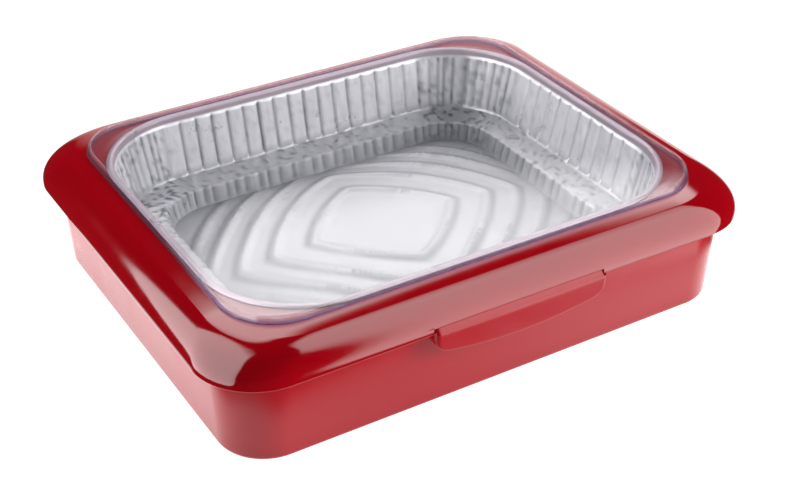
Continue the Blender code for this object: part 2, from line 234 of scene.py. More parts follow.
def loft(name, rows, closed_section=False, cap_first=False, cap_last=False, sharp=30):
    """Joins rows of equal length, each a closed loop, into one mesh object.

    Only the first three numbers of each point are used.
    """
    rows = np.asarray(rows, float)[:, :, :3]
    count, width = rows.shape[:2]
    points = rows.reshape(-1, 3) * MM
    i, j = np.meshgrid(np.arange(count if closed_section else count - 1), np.arange(width), indexing="ij")
    i, j = i.ravel(), j.ravel()
    up, right = (i + 1) % count, (j + 1) % width
    faces = np.stack([i * width + j, i * width + right, up * width + right, up * width + j], 1).tolist()
    if cap_first:
        faces.append(list(range(width))[::-1])
    if cap_last:
        faces.append([(count - 1) * width + k for k in range(width)])
    return mesh_piece(name, points.tolist(), faces, sharp)


def mesh_piece(name, points, faces, sharp=30):
    mesh = bpy.data.meshes.new(name)
    mesh.from_pydata(points, [], faces)
    bm = bmesh.new()
    bm.from_mesh(mesh)
    bmesh.ops.recalc_face_normals(bm, faces=bm.faces)
    bm.to_mesh(mesh)
    bm.free()
    smooth(mesh, sharp)
    obj = bpy.data.objects.new(name, mesh)
    bpy.context.scene.collection.objects.link(obj)
    return obj


def smooth(mesh, sharp):
    mesh.shade_smooth()
    mesh.set_sharp_from_angle(angle=math.radians(sharp))


def united(target, helpers, sharp):
    """Unites the helpers with the target for good, and removes them."""
    for helper in helpers:
        modifier = target.modifiers.new("union", "BOOLEAN")
        modifier.operation = "UNION"
        modifier.solver = "EXACT"
        modifier.object = helper
    graph = bpy.context.evaluated_depsgraph_get()
    mesh = bpy.data.meshes.new_from_object(target.evaluated_get(graph), depsgraph=graph)
    target.modifiers.clear()
    target.data = mesh
    smooth(mesh, sharp)
    for helper in helpers:
        bpy.data.objects.remove(helper, do_unlink=True)
    return target


def between(low, high, share):
    return low + (high - low) * share


def smoothstep(low, high, value):
    t = np.clip((np.asarray(value, float) - low) / (high - low), 0, 1)
    return t * t * (3 - 2 * t)


def noise_at(points, scale, seed):
    """Smooth noise from about -1 to 1 at each point, the points in millimetres."""
    shift = Vector((seed * 17.31, seed * 5.77, seed * 9.13))
    flat = np.asarray(points, float).reshape(-1, 3) / scale
    return np.array([noise.noise(Vector(p) + shift) for p in flat]).reshape(np.shape(points)[:-1])


# ---------------------------------------------------------------- tub
def tub_rows():
    """The tub's rows from the foot up the outside, round flange and upstand, and down the inside."""
    shape = (30, side_shares(11), side_shares(9))

    def row(half, corner, z):
        return at_height(rounded(half, corner, *shape), z)

    rows = []
    for angle in np.linspace(0, math.pi / 2, 9):
        inset = FOOT_RADIUS * (1 - math.sin(angle))
        z = FOOT_RADIUS * (1 - math.cos(angle))
        rows.append(row(WALL_LOW_HALF - inset, WALL_LOW_CORNER - inset, z))
    for share in np.linspace(0, 1, 9)[1:]:
        half = between(WALL_LOW_HALF, WALL_HIGH_HALF, share)
        corner = between(WALL_LOW_CORNER, WALL_HIGH_CORNER, share)
        rows.append(row(half, corner, between(FOOT_RADIUS, FLANGE_BOTTOM - FLANGE_FILLET, share)))
    for angle in np.linspace(0, math.pi / 2, 5)[1:]:
        out = FLANGE_FILLET * (1 - math.cos(angle))
        z = FLANGE_BOTTOM - FLANGE_FILLET * (1 - math.sin(angle))
        rows.append(row(WALL_HIGH_HALF + out, WALL_HIGH_CORNER + out, z))
    edge = WALL_HIGH_HALF + FLANGE_REACH
    edge_corner = WALL_HIGH_CORNER + FLANGE_REACH
    for side, level in ((-1, FLANGE_BOTTOM + FLANGE_ROUND), (1, FLANGE_TOP - FLANGE_ROUND)):
        for angle in np.linspace(0, math.pi / 2, 5)[::side]:
            inset = FLANGE_ROUND * (1 - math.cos(angle))
            z = level + side * FLANGE_ROUND * math.sin(angle)
            rows.append(row(edge - inset, edge_corner - inset, z))
    rows.append(row(WALL_HIGH_HALF, WALL_HIGH_CORNER, FLANGE_TOP))
    inner = WALL_HIGH_HALF - WALL_THICK
    inner_corner = WALL_HIGH_CORNER - WALL_THICK
    for side, half, corner in ((1, WALL_HIGH_HALF, WALL_HIGH_CORNER), (-1, inner, inner_corner)):
        for angle in np.linspace(0, math.pi / 2, 5)[::side]:
            inset = side * UPSTAND_ROUND * (1 - math.cos(angle))
            z = UPSTAND_TOP - UPSTAND_ROUND + UPSTAND_ROUND * math.sin(angle)
            rows.append(row(half - inset, corner - inset, z))
    rows.append(row(inner, inner_corner, FLANGE_BOTTOM))
    floor_half = WALL_LOW_HALF - WALL_THICK
    floor_corner = WALL_LOW_CORNER - WALL_THICK
    for angle in np.linspace(0, math.pi / 2, 7):
        inset = TUB_FLOOR_RADIUS * (1 - math.cos(angle))
        z = WALL_THICK + TUB_FLOOR_RADIUS * (1 - math.sin(angle))
        rows.append(row(floor_half - inset, floor_corner - inset, z))
    return rows


def wall_half(z):
    return between(WALL_LOW_HALF, WALL_HIGH_HALF, (z - FOOT_RADIUS) / (FLANGE_BOTTOM - FOOT_RADIUS))


def ledge_column(offset, solid):
    """The ledge's cross-section as (distance from the middle plane, height) at this distance along it.

    Solid columns close the apron's ends; the others leave it open from below.
    """

    def rounding(radius):
        over = min(max(0.0, abs(offset) - (LEDGE_HALF - radius)), radius - 0.1)
        return radius - math.sqrt(radius**2 - over**2)

    front = LEDGE_FRONT - rounding(LEDGE_CORNER)
    low = LEDGE_LOW_Z + LEDGE_SMILE * (offset / LEDGE_HALF) ** 2 + rounding(LEDGE_LOW_CORNER)
    rib = LEDGE_RIB_TOP - LEDGE_RIB_SLOPE * max(0.0, abs(offset) - (LEDGE_HALF - LEDGE_RIB_SLOPE_LENGTH))
    if offset > 0:
        start, stop = LEDGE_HALF - LEDGE_RIB_STOP[0], LEDGE_HALF - LEDGE_RIB_STOP[1]
        rib = between(LEDGE_RIB_TOP, LEDGE_TOP + 0.1, float(smoothstep(start, stop, offset)))
    under = FLANGE_BOTTOM - 0.5
    face = front - LEDGE_DRAFT * (LEDGE_TOP - low)
    core = wall_half(FLANGE_BOTTOM)[1] - WALL_THICK / 2
    # from the flange over the rib to the nose
    points = [(core, LEDGE_TOP - 0.5), (front - 4.8, LEDGE_TOP - 0.5), (front - 4.5, rib - 0.3)]
    points += [(front - 4.2, rib), (front - 3.1, rib), (front - 2.6, rib - 0.2)]
    points.append((front - 1.2, min(LEDGE_TOP + 1.4, rib - 0.3)))
    for angle in np.linspace(math.radians(50), 0, 6):
        y = front - LEDGE_NOSE_RADIUS + LEDGE_NOSE_RADIUS * math.cos(angle)
        points.append((y, LEDGE_TOP + LEDGE_NOSE_RADIUS * math.sin(angle) - LEDGE_NOSE_DROP))
    # down the apron's face, round its lower edge and up behind it
    for share in (0.15, 0.5, 0.85):
        points.append((between(front, face, share), between(LEDGE_TOP - 0.4, low + 1.0, share)))
    for angle in np.linspace(0, math.pi / 2, 5):
        points.append((face - 1.0 + math.cos(angle), low + 1.0 - math.sin(angle)))
    if solid:
        middle = (low + under) / 2
        points += [(wall_half(z)[1] - WALL_THICK / 2, z) for z in (low, middle)]
    else:
        points.append((face - LEDGE_WALL, low))
        points.append((front - LEDGE_DRAFT * (LEDGE_TOP - under) - LEDGE_WALL, under))
    points.append((core, under))
    return points


def ledge(side):
    """The ledge of one side: 1 for the front, -1 for the back, turned half round."""
    near_end = [0.0, 0.25, 0.6, 1.1, 1.7, LEDGE_WALL, LEDGE_WALL + 0.04]
    insets = np.concatenate([near_end, np.linspace(3, 9, 7)])
    ends = [(LEDGE_HALF - inset, inset <= LEDGE_WALL) for inset in insets]
    middle = [(LEDGE_HALF * share, False) for share in np.linspace(-0.82, 0.82, 25)]
    rows = []
    for offset, solid in [(-offset, solid) for offset, solid in ends] + middle + ends[::-1]:
        x = side * (offset + LEDGE_CENTRE)
        rows.append([(x, -side * y, z) for y, z in ledge_column(offset, solid)])
    return loft("ledge", rows, cap_first=True, cap_last=True)


def build_tub():
    tub = loft("tub_shell", tub_rows(), cap_first=True, cap_last=True)
    return united(tub, [ledge(1), ledge(-1)], sharp=28)


# ---------------------------------------------------------------- collar
def notch_lift(flat):
    """How far the collar's lower edge is raised over the ledges at each point of a loop."""
    lift = np.zeros(len(flat))
    for side in (1, -1):
        along = flat[:, 0] * side - LEDGE_CENTRE
        inside = np.where(along < 0, LEDGE_HALF + NOTCH_GAPS[0] + along, LEDGE_HALF + NOTCH_GAPS[1] - along)
        on_side = flat[:, 1] * side < -(COLLAR_HALF[1] - NOTCH_DEPTH)
        flare = np.clip(inside + NOTCH_FLARE, 0, NOTCH_FLARE)
        rise = np.where(inside > 0, NOTCH_TOP - COLLAR_LIP, flare)
        lift = np.where(on_side, rise, lift)
    return lift


def collar_rows():
    """The collar's closed section: edge, rolled outside, shelf, seat, opening's lip, skirt and underside.

    The notches' upright ends get columns of their own, close together.
    """
    straight = COLLAR_HALF[0] - COLLAR_CORNER
    marks = []
    for beyond in (NOTCH_FLARE, NOTCH_STEP, -NOTCH_STEP):
        left = LEDGE_CENTRE - LEDGE_HALF - NOTCH_GAPS[0] - beyond
        right = LEDGE_CENTRE + LEDGE_HALF + NOTCH_GAPS[1] + beyond
        marks += [left / straight, right / straight]
    clear = [s for s in side_shares(35) if min(abs(s - m) for m in marks) > NOTCH_SHARE_CLEARANCE]
    long_side = np.sort(np.concatenate([clear, marks]))
    shape = (36, long_side, side_shares(25))

    def row(half, corner, z):
        flat = rounded(half, corner, *shape)
        height = np.full(len(flat), float(z))
        if z < NOTCH_BLEND_Z:
            share = (z - COLLAR_LIP) / (NOTCH_BLEND_Z - COLLAR_LIP)
            height += notch_lift(flat) * (1 - share)
        return at_height(flat, height)

    inside_half = COLLAR_HALF - COLLAR_THICK
    inside_corner = COLLAR_CORNER - COLLAR_THICK
    rows = [row(inside_half + COLLAR_LIP_BEVEL, inside_corner + COLLAR_LIP_BEVEL, COLLAR_LIP)]
    for angle in np.linspace(math.pi / 2, 0, 7):
        inset = COLLAR_LIP_ROUND * (1 - math.cos(angle))
        z = COLLAR_LIP + COLLAR_LIP_ROUND * (1 - math.sin(angle))
        rows.append(row(COLLAR_HALF - inset, COLLAR_CORNER - inset, z))
    drop = COLLAR_TOP_Z - SHELF_FALL - COLLAR_BULGE_Z
    far = COLLAR_HALF[1] - SEAT_HALF[1] - SHELF_REACH
    along = (ROLL_REACH - far) / ROLL_REACH
    height = drop / math.sqrt(1 - along**2)
    for angle in np.linspace(0, math.acos(along), 36):
        out = ROLL_REACH * (1 - math.cos(angle))
        share = out / far
        half = between(COLLAR_HALF, SEAT_HALF + SHELF_REACH, share)
        corner = between(COLLAR_CORNER, SEAT_CORNER + SHELF_REACH, share)
        rows.append(row(half, corner, COLLAR_BULGE_Z + height * math.sin(angle)))
    for share in SHELF_SHARES:
        out = SHELF_REACH * (1 - share)
        fall = SHELF_FALL * (1 - share) ** SHELF_POWER
        rows.append(row(SEAT_HALF + out, SEAT_CORNER + out, COLLAR_TOP_Z - fall))
    rows.append(row(SEAT_HALF, SEAT_CORNER, COLLAR_TOP_Z))
    seat_in = OPENING_HALF + OPENING_LIP_FOOT
    rows.append(row(between(SEAT_HALF, seat_in, 0.5), SEAT_MIDDLE_CORNER, COLLAR_TOP_Z))
    rows.append(row(seat_in, OPENING_CORNER + OPENING_LIP_FOOT, COLLAR_TOP_Z))
    for out, depth in zip(OPENING_LIP_REACHES, OPENING_LIP_DEPTHS):
        rows.append(row(OPENING_HALF + out, OPENING_CORNER + out, OPENING_LIP_Z - depth))
    rows.append(row(OPENING_HALF - SKIRT_INSET, OPENING_CORNER - SKIRT_INSET, SKIRT_BOTTOM + 0.8))
    for angle in np.linspace(0, math.pi, 7):
        out = SKIRT_HALF_THICK * (1 - math.cos(angle)) - 0.25
        z = SKIRT_BOTTOM + 0.5 * (1 - math.sin(angle)) + INSIDE
        rows.append(row(OPENING_HALF + out, OPENING_CORNER + out, z))
    under = COLLAR_TOP_Z - COLLAR_THICK
    rows.append(row(OPENING_HALF + OPENING_UNDER_REACH, OPENING_CORNER + OPENING_UNDER_REACH, under))
    for angle in np.linspace(math.pi / 2, 0, 15):
        half = between(SEAT_HALF - SEAT_UNDER_INSET, inside_half, math.cos(angle))
        corner = between(SEAT_CORNER - SEAT_UNDER_INSET, inside_corner, math.cos(angle))
        rows.append(row(half, corner, COLLAR_BULGE_Z + (under - COLLAR_BULGE_Z) * math.sin(angle)))
    return rows


def build_collar():
    return loft("collar_shell", collar_rows(), closed_section=True, sharp=32)


# ---------------------------------------------------------------- clear lid
def build_lid():
    """The lid: its underside, its foot on the collar's seat, the bead round its edge, and the plate."""
    shape = (32, side_shares(9), side_shares(9))

    def row(inset, z):
        return at_height(rounded(LID_FOOT_HALF - inset, LID_CORNER - inset, *shape), z)

    rows = [row(inset, LID_PLATE_BOTTOM + rise) for inset, rise in LID_UNDER_PROFILE]
    rows += [row(inset, LID_FOOT_Z + rise) for inset, rise in LID_FOOT_PROFILE]
    rows.append(row(1.0, LID_BEAD_TOP - 1.4))
    for angle in np.linspace(0.1, math.pi, 9):
        inset = LID_BEAD_INSET - LID_BEAD_HALF_WIDTH * math.cos(angle)
        rows.append(row(inset, LID_BEAD_TOP - LID_BEAD_HEIGHT + LID_BEAD_HEIGHT * math.sin(angle)))
    rows.append(row(4.4, LID_PLATE_TOP))
    return loft("lid_shell", rows, cap_first=True, cap_last=True, sharp=50)


# ---------------------------------------------------------------- foil pan
def groove(distance, width):
    """A narrow pressed groove: 1 on its line, falling to 0 at half its width."""
    t = np.clip(np.abs(distance) / (width / 2), 0, 1)
    return 0.5 + 0.5 * np.cos(math.pi * t)


class PanColumns:
    """The pan's columns, close together over each flute's groove, and how far each is from its flute."""

    def __init__(self):
        straight = PAN_SHOULDER_HALF - PAN_SHOULDER_CORNER
        long_middles, short_middles = (self.flute_middles(length) for length in straight)
        self.long_side = self.places(straight[0], long_middles)
        self.short_side = self.places(straight[1], short_middles)
        flat = self.loop(PAN_SHOULDER_HALF, PAN_SHOULDER_CORNER)
        lengths = np.linalg.norm(np.roll(flat, -1, 0) - flat, axis=1)
        self.run = np.concatenate([[0], np.cumsum(lengths)[:-1]])
        self.around = lengths.sum()
        over = np.maximum(np.abs(flat) - straight, 0)
        self.in_corner = np.minimum(over[:, 0], over[:, 1]) / PAN_SHOULDER_CORNER
        spread = np.random.default_rng(FLUTE_SEED)
        self.gap = np.full(len(flat), FLUTE_PITCH / 2)
        self.depth = np.ones(len(flat))
        for axis, middles in ((0, long_middles), (1, short_middles)):
            for side in (-1, 1):
                depths = spread.uniform(0.6, 1.0, len(middles))
                here = (over[:, axis] == 0) & (flat[:, 1 - axis] * side > 0) & (over[:, 1 - axis] > 0)
                gap = flat[:, axis][:, None] - middles[None, :]
                nearest = np.abs(gap).argmin(1)
                self.gap = np.where(here, gap[np.arange(len(flat)), nearest], self.gap)
                self.depth = np.where(here, depths[nearest], self.depth)

    @staticmethod
    def flute_middles(straight):
        count = int(2 * straight / FLUTE_PITCH)
        return (np.arange(count) - (count - 1) / 2) * FLUTE_PITCH

    @staticmethod
    def places(straight, middles):
        return (middles[:, None] + FLUTE_COLUMNS[None, :]).ravel() / straight

    def loop(self, half, corner):
        return rounded(half, corner, PAN_CORNER_STEPS, self.long_side, self.short_side)

    @staticmethod
    def normals(flat):
        tangent = np.roll(flat, -1, 0) - np.roll(flat, 1, 0)
        tangent /= np.linalg.norm(tangent, axis=1)[:, None]
        return np.stack([tangent[:, 1], -tangent[:, 0]], 1)


def flute_lines(columns, pitch, seed, jitter):
    """Distance of each column from its nearest flute, and a depth share for that flute."""
    count = max(4, int(round(columns.around / pitch)))
    spread = np.random.default_rng(seed)
    centres = (np.arange(count) + spread.uniform(-jitter, jitter, count)) * columns.around / count
    depths = spread.uniform(0.55, 1.0, count)
    gap = columns.run[:, None] - centres[None, :]
    gap = (gap + columns.around / 2) % columns.around - columns.around / 2
    nearest = np.abs(gap).argmin(1)
    return gap[np.arange(len(gap)), nearest], depths[nearest]


def dome_height(share):
    return PAN_EDGE_Z + PAN_DOME_RISE * (1 - share**PAN_DOME_POWER)


def ring_relief(flat):
    """Height of the pressed diamond rings over the dome, and the painted shade in the valleys beside them."""
    x, y = np.abs(flat[:, 0]), np.abs(flat[:, 1]) * RING_ASPECT
    reach = (x**RING_POWER + y**RING_POWER) ** (1 / RING_POWER)
    relief, valley_shade = np.zeros(len(flat)), np.zeros(len(flat))
    for crest, height in zip(RING_CRESTS, RING_HEIGHTS):
        relief += height * groove(reach - crest, 2 * RING_HALF_WIDTH)
        # Painted shade in the valley just outside each ring's crest
        valley_shade += groove(reach - crest - 1.25 * RING_HALF_WIDTH, 2.2 * RING_HALF_WIDTH)
    return relief, RING_SHADE * np.clip(valley_shade, 0, 1)


def pan_rows():
    """The pan's rows from the middle of the floor out to the rim; the fourth number is the shade painted into
    its grooves, folds, valleys and crumples.
    """
    columns = PanColumns()
    edge = columns.loop(PAN_EDGE_HALF, PAN_EDGE_CORNER)
    rows = []
    for share in FLOOR_SHARES:
        flat = edge * share
        fade = smoothstep(0, 0.06, 1 - share)
        relief, shade = ring_relief(flat)
        rows.append(np.column_stack([flat, dome_height(share) + relief * fade, shade]))

    lower_gap, lower_depth = flute_lines(columns, LOWER_PITCH, LOWER_SEED, LOWER_JITTER)
    fold_gap, fold_depth = flute_lines(columns, FOLD_PITCH, FOLD_SEED, FOLD_JITTER)
    in_corner = smoothstep(0.02, 0.14, columns.in_corner)

    def wall_row(half, corner, z, upper=0.0, lower=0.0, crinkle=0.0):
        """A row of the wall; upper, lower and crinkle say how strongly each kind of relief shows in it."""
        flat = columns.loop(half, corner)
        normal = columns.normals(flat)
        flute = upper * columns.depth * groove(columns.gap, FLUTE_WIDTH) * (1 - in_corner)
        fold = upper * fold_depth * groove(fold_gap, FOLD_WIDTH) * in_corner
        step = lower * lower_depth * (LOWER_DEPTH * groove(lower_gap, LOWER_WIDTH) - LOWER_SET_BACK)
        push = FLUTE_DEPTH * flute + FOLD_DEPTH * fold + step
        # Painted shade along each flute, fold and lower flute's groove; the flutes' painted shade fades out
        # towards +X
        faint = 1 - 0.6 * smoothstep(-60, 90, flat[:, 0])
        shade = FLUTE_SHADE * flute * faint + FOLD_SHADE * fold
        shade += LOWER_SHADE * lower * lower_depth * groove(lower_gap, LOWER_SHADE_WIDTH)
        flat = flat + normal * push[:, None]
        height = np.full(len(flat), float(z))
        if crinkle:
            points = at_height(flat, height)
            amount = crinkle * (1 + 2.2 * in_corner)
            flat = flat + normal * (amount * noise_at(points, CRUMPLE_SIZES[0], seed=1))[:, None]
            crumple = noise_at(points, CRUMPLE_SIZES[1], seed=2)
            height = height + amount * crumple
            # Painted shade in the crumples' dents
            shade = shade + 1.2 * amount * smoothstep(0.1, 0.5, crumple)
        return np.column_stack([flat, height, np.clip(shade, 0, 1)])

    rows.append(wall_row(PAN_EDGE_HALF, PAN_EDGE_CORNER, PAN_EDGE_Z + 0.15, lower=0.2))
    for share in np.linspace(0.06, 0.96, 8):
        half = between(PAN_EDGE_HALF, PAN_LEDGE_IN_HALF, share)
        corner = between(PAN_EDGE_CORNER, PAN_LEDGE_IN_CORNER, share)
        z = between(PAN_EDGE_Z, PAN_LEDGE_IN_Z, share)
        fade = min(1.0, 4 * share, 0.6 + 3 * (1 - share))
        rows.append(wall_row(half, corner, z, lower=fade, crinkle=0.12))
    half, corner = PAN_LEDGE_IN_HALF + 0.3, PAN_LEDGE_IN_CORNER + 0.3
    rows.append(wall_row(half, corner, PAN_LEDGE_IN_Z, lower=0.5, crinkle=0.2))
    for share in np.linspace(0.08, 0.94, 9):
        half = between(PAN_LEDGE_IN_HALF, PAN_HEEL_HALF, share)
        corner = between(PAN_LEDGE_IN_CORNER, PAN_HEEL_CORNER, share)
        z = between(PAN_LEDGE_IN_Z + 0.1, PAN_HEEL_Z, share)
        fade = 0.35 * max(0.0, 1 - 4 * share)
        rows.append(wall_row(half, corner, z, lower=fade, crinkle=0.5))
    for share in np.concatenate([[0.0, 0.03], np.linspace(0.08, 0.95, 11), [0.975]]):
        half = between(PAN_HEEL_HALF, PAN_SHOULDER_HALF, share)
        corner = between(PAN_HEEL_CORNER, PAN_SHOULDER_CORNER, share)
        z = between(PAN_HEEL_Z + 0.3, PAN_SHOULDER_Z, share)
        fade = min(1.0, 14 * share) * float(smoothstep(0.0, 0.05, 1 - share))
        rows.append(wall_row(half, corner, z, upper=fade, crinkle=0.13))

    def rim_row(out, z, crinkle=0.0):
        return wall_row(OPENING_HALF + out, OPENING_CORNER + out, z, crinkle=crinkle)

    neck = -PAN_NECK_INSET
    rows.append(rim_row(neck - 0.35, PAN_SHOULDER_Z, crinkle=0.05))
    rows.append(rim_row(neck, PAN_SHOULDER_Z + 0.45))
    rows.append(rim_row(neck, PAN_SHOULDER_Z + 2.2))
    middle = (PAN_RIM_REACH + neck) / 2
    reach = PAN_RIM_REACH - middle
    for angle in np.linspace(math.pi, 0, 11):
        z = PAN_RIM_Z - PAN_RIM_RISE + PAN_RIM_RISE * math.sin(angle)
        rows.append(rim_row(middle + reach * math.cos(angle), z))
    return np.asarray(rows)


def build_pan():
    rows = pan_rows()
    pan = loft("pan_foil_sheet", rows, cap_first=True, sharp=60)
    # The fourth numbers go on the mesh as the painted shade of the creases
    pan.data.attributes.new("crease_shade", "FLOAT", "POINT").data.foreach_set("value", rows[:, :, 3].ravel())
    solid = pan.modifiers.new("thickness", "SOLIDIFY")
    solid.thickness = FOIL_THICK * MM
    solid.offset = -1.0
    return pan


# ---------------------------------------------------------------- materials
WHITE = (1.0, 1.0, 1.0, 1.0)
COLLAR_REDS = ((0.345, 0.0001, 0.005), (0.32, 0.0001, 0.0042))
COLLAR_IOR = 1.55
TUB_REDS = ((0.40, 0.003, 0.010), (0.37, 0.002, 0.009))
TUB_IOR = 1.46
LID_CLEAR = (0.955, 0.95, 0.96)
# Painted violet shade for the dark refraction lines at the lid's foot
LID_FOOT_REFRACTION_SHADE = (0.52, 0.46, 0.72)
LID_HAZE = (0.62, 0.68, 0.82, 1.0)
LID_HAZE_SHARES = (0.03, 0.13)
LID_MIRROR_SHARES = (0.035, 0.2)
# Foil greys: the walls painted light and the floor painted darker as shade, one foil under different light
FOIL_LIT_WALL_GREYS = ((0.98, 0.98, 0.985), (0.88, 0.885, 0.89))
FOIL_SHADED_FLOOR_GREYS = ((0.43, 0.435, 0.44), (0.37, 0.375, 0.38))
# Painted reflection of the red collar on the foil's rim
FOIL_RIM_PAINTED_REFLECTION = (0.52, 0.43, 0.47)
# Painted shade for the foil's grooves, folds, ring valleys and crumples
FOIL_CREASE_SHADE = (0.16, 0.16, 0.185)
FOIL_MATTE_SHARES = (0.86, 0.6)
FOIL_CRUMPLE_SHARES = (0.008, 0.24)
STAGE_GREYS = ((0.28, 0.28, 0.28), (0.30, 0.30, 0.30))


class Shader:
    """A material's node tree, filled in call by call."""

    def __init__(self, name):
        self.material = bpy.data.materials.new(name)
        self.material.use_nodes = True
        self.tree = self.material.node_tree
        self.tree.nodes.clear()
        self.out = self.tree.nodes.new("ShaderNodeOutputMaterial")

    def node(self, kind, inputs=None, **settings):
        made = self.tree.nodes.new("ShaderNode" + kind)
        for key, value in settings.items():
            setattr(made, key, value)
        for key, value in (inputs or {}).items():
            if isinstance(value, bpy.types.NodeSocket):
                self.tree.links.new(value, made.inputs[key])
            else:
                made.inputs[key].default_value = value
        return made

    def noise(self, scale, detail=3.0, roughness=0.5):
        place = self.node("TexCoord").outputs["Object"]
        inputs = {"Vector": place, "Scale": scale, "Detail": detail, "Roughness": roughness}
        return self.node("TexNoise", inputs).outputs["Fac"]

    def remap(self, value, low, high, start=0.3, end=0.7):
        """Low to high, clamped, as the value goes from start to end."""
        inputs = {"Value": value, "From Min": start, "From Max": end, "To Min": low, "To Max": high}
        return self.node("MapRange", inputs).outputs["Result"]

    def mix_colour(self, factor, first, second):
        """Mixes two colours, each given as three numbers or as another node's output."""
        made = self.node("Mix", data_type="RGBA")
        for key, value in ((0, factor), (6, first), (7, second)):
            if isinstance(value, bpy.types.NodeSocket):
                self.tree.links.new(value, made.inputs[key])
            else:
                made.inputs[key].default_value = value if key == 0 else (*value, 1.0)
        return made.outputs[2]

    def bump(self, height, strength, distance):
        inputs = {"Height": height, "Strength": strength, "Distance": distance}
        return self.node("Bump", inputs).outputs["Normal"]

    def finish(self, surface):
        self.tree.links.new(surface, self.out.inputs["Surface"])
        return self.material


def gloss_red():
    s = Shader("collar_gloss_red")
    colour = s.mix_colour(s.remap(s.noise(scale=9.0), 0, 1), *COLLAR_REDS)
    rough = s.remap(s.noise(scale=60.0, detail=5.0), 0.05, 0.085)
    ripple = s.bump(s.noise(scale=22.0, detail=2.0), strength=0.05, distance=0.001)
    inputs = {"Base Color": colour, "Roughness": rough, "IOR": COLLAR_IOR, "Normal": ripple}
    return s.finish(s.node("BsdfPrincipled", inputs).outputs[0])


def satin_red():
    s = Shader("tub_satin_red")
    colour = s.mix_colour(s.remap(s.noise(scale=7.0), 0, 1), *TUB_REDS)
    rough = s.remap(s.noise(scale=45.0, detail=4.0), 0.20, 0.26)
    grain = s.bump(s.noise(scale=1600.0, detail=2.0), strength=0.12, distance=0.0002)
    inputs = {"Base Color": colour, "Roughness": rough, "IOR": TUB_IOR, "Normal": grain}
    return s.finish(s.node("BsdfPrincipled", inputs).outputs[0])


def clear_plastic():
    """Clear plastic with painted violet shade at its foot for the dark refraction lines there, a faint haze
    in the bead and a mirror that grows at a slant.
    """
    s = Shader("lid_clear")
    ripple = s.bump(s.noise(scale=14.0, detail=1.0), strength=0.04, distance=0.001)
    height = s.node("SeparateXYZ", {0: s.node("TexCoord").outputs["Object"]}).outputs["Z"]
    # Painted violet shade at the foot, standing in for its dark refraction lines
    foot = s.remap(height, 1.0, 0.0, (LID_FOOT_Z + 0.6) * MM, (LID_FOOT_Z + 1.2) * MM)
    tint = s.mix_colour(foot, LID_CLEAR, LID_FOOT_REFRACTION_SHADE)
    through = s.node("BsdfTransparent", {"Color": tint}).outputs[0]
    haze = s.node("BsdfDiffuse", {"Color": LID_HAZE}).outputs[0]
    bead = s.remap(height, 0.0, 1.0, (LID_PLATE_TOP + 0.15) * MM, (LID_PLATE_TOP + 0.7) * MM)
    cloudy = s.remap(bead, *LID_HAZE_SHARES, 0.0, 1.0)
    body = s.node("MixShader", {0: cloudy, 1: through, 2: haze}).outputs[0]
    rough = s.remap(s.noise(scale=40.0), 0.02, 0.05)
    gloss = s.node("BsdfGlossy", {"Color": WHITE, "Roughness": rough, "Normal": ripple}).outputs[0]
    facing = s.node("LayerWeight", {"Blend": 0.5, "Normal": ripple}).outputs["Facing"]
    steep = s.node("Math", {0: facing, 1: 5.0}, operation="POWER").outputs[0]
    mirror = s.remap(steep, *LID_MIRROR_SHARES, 0.0, 1.0)
    return s.finish(s.node("MixShader", {0: mirror, 1: body, 2: gloss}).outputs[0])


def bright_foil():
    """Part matte, part metal foil: streaked walls painted lighter than the floor, a floor painted greyer as
    shade, a mauve painted reflection of the red collar at the rim, and painted shade in the creases.
    """
    s = Shader("pan_foil")
    place = s.node("TexCoord").outputs["Object"]
    height = s.node("SeparateXYZ", {0: place}).outputs["Z"]
    wall = s.remap(height, 0.0, 1.0, (PAN_LEDGE_IN_Z - 0.4) * MM, (PAN_LEDGE_IN_Z + 0.2) * MM)
    upright = s.node("Mapping", {"Vector": place, "Scale": (1.0, 1.0, 0.1)}).outputs["Vector"]
    # Painted light and shade: the walls lighter, the floor darker, for one and the same foil
    lit_wall_share = s.remap(height, 0.3, 1.0, PAN_HEEL_Z * MM, (PAN_HEEL_Z + 6) * MM)
    streaks = s.node("TexNoise", {"Vector": upright, "Scale": 210.0, "Detail": 3.0}).outputs["Fac"]
    lit_wall_colour = s.mix_colour(s.remap(streaks, 0, 1, 0.42, 0.62), *FOIL_LIT_WALL_GREYS)
    shaded_floor_colour = s.mix_colour(s.remap(s.noise(scale=45.0, detail=4.0), 0, 1), *FOIL_SHADED_FLOOR_GREYS)
    colour = s.mix_colour(lit_wall_share, shaded_floor_colour, lit_wall_colour)
    # Painted reflection of the red collar on the rim's curl, mauve
    rim_reflection_share = s.remap(height, 0.0, 1.0, (PAN_SHOULDER_Z + 0.2) * MM, (PAN_SHOULDER_Z + 1.6) * MM)
    rim = s.mix_colour(rim_reflection_share, colour, FOIL_RIM_PAINTED_REFLECTION)
    # Painted shade darkens the foil along its grooves, folds, ring valleys and crumples
    crease_shade = s.node("Attribute", attribute_name="crease_shade").outputs["Fac"]
    pressed = s.mix_colour(crease_shade, rim, FOIL_CREASE_SHADE)
    rough = s.remap(s.noise(scale=55.0, detail=5.0), 0.26, 0.38)
    amount = s.remap(wall, *FOIL_CRUMPLE_SHARES, 0.0, 1.0)
    crumple = s.bump(s.noise(scale=240.0, detail=3.0, roughness=0.6), strength=amount, distance=0.001)
    inputs = {"Base Color": pressed, "Metallic": 1.0, "Roughness": rough, "Normal": crumple}
    shiny = s.node("BsdfPrincipled", inputs).outputs[0]
    matte = s.node("BsdfDiffuse", {"Color": pressed, "Normal": crumple}).outputs[0]
    share = s.remap(wall, *FOIL_MATTE_SHARES, 0.0, 1.0)
    return s.finish(s.node("MixShader", {0: share, 1: shiny, 2: matte}).outputs[0])


